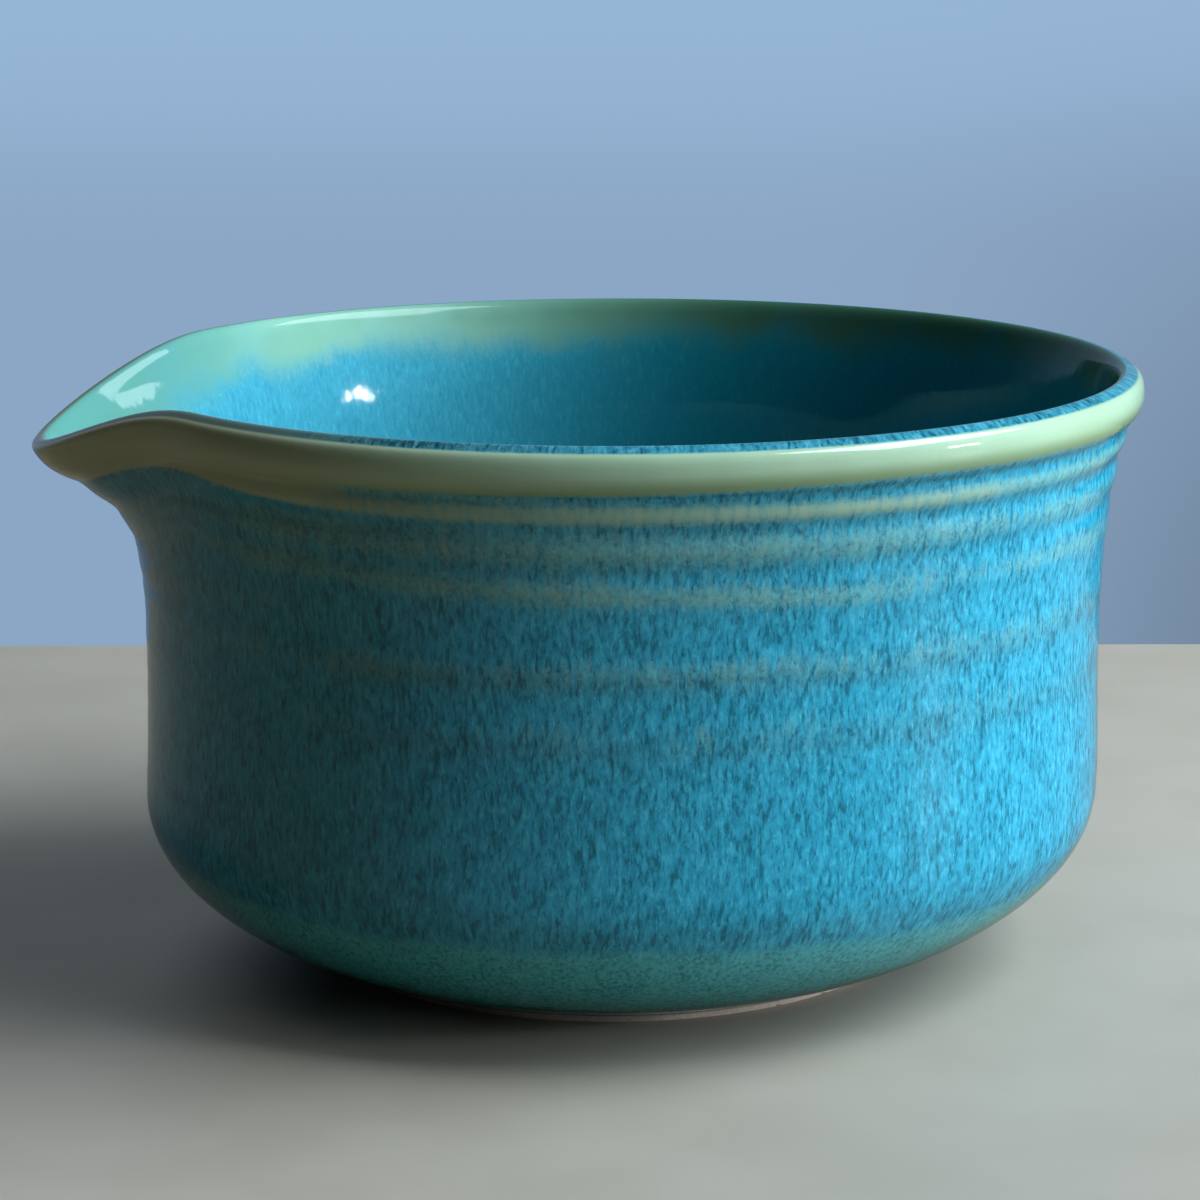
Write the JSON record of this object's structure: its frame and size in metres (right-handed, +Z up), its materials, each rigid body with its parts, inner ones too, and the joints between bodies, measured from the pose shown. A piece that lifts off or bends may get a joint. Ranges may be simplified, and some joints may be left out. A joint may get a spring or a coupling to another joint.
{
  "type": "mixing bowl",
  "caption": "Wheel-thrown stoneware mixing bowl with a pulled pouring lip, a rolled rim and glossy blue-green glaze over a bare clay foot.",
  "frame": {"origin": "centre of the flat foot's resting face", "axes": "+Z up out of the bowl's mouth; the pouring lip points to -X, turned about 6 degrees towards -Y"},
  "size_m": [0.1937, 0.1827, 0.1048],
  "materials": {
    "bare_stoneware": "matte bare clay",
    "teal_glaze": "glossy",
    "green_glaze": "glossy",
    "cyan_glaze": "glossy"
  },
  "bodies": {
    "root": {"stoneware_body": "bare_stoneware", "exterior_glaze": "teal_glaze", "rim_glaze": "green_glaze", "interior_glaze": "cyan_glaze"}
  },
  "joints": []
}
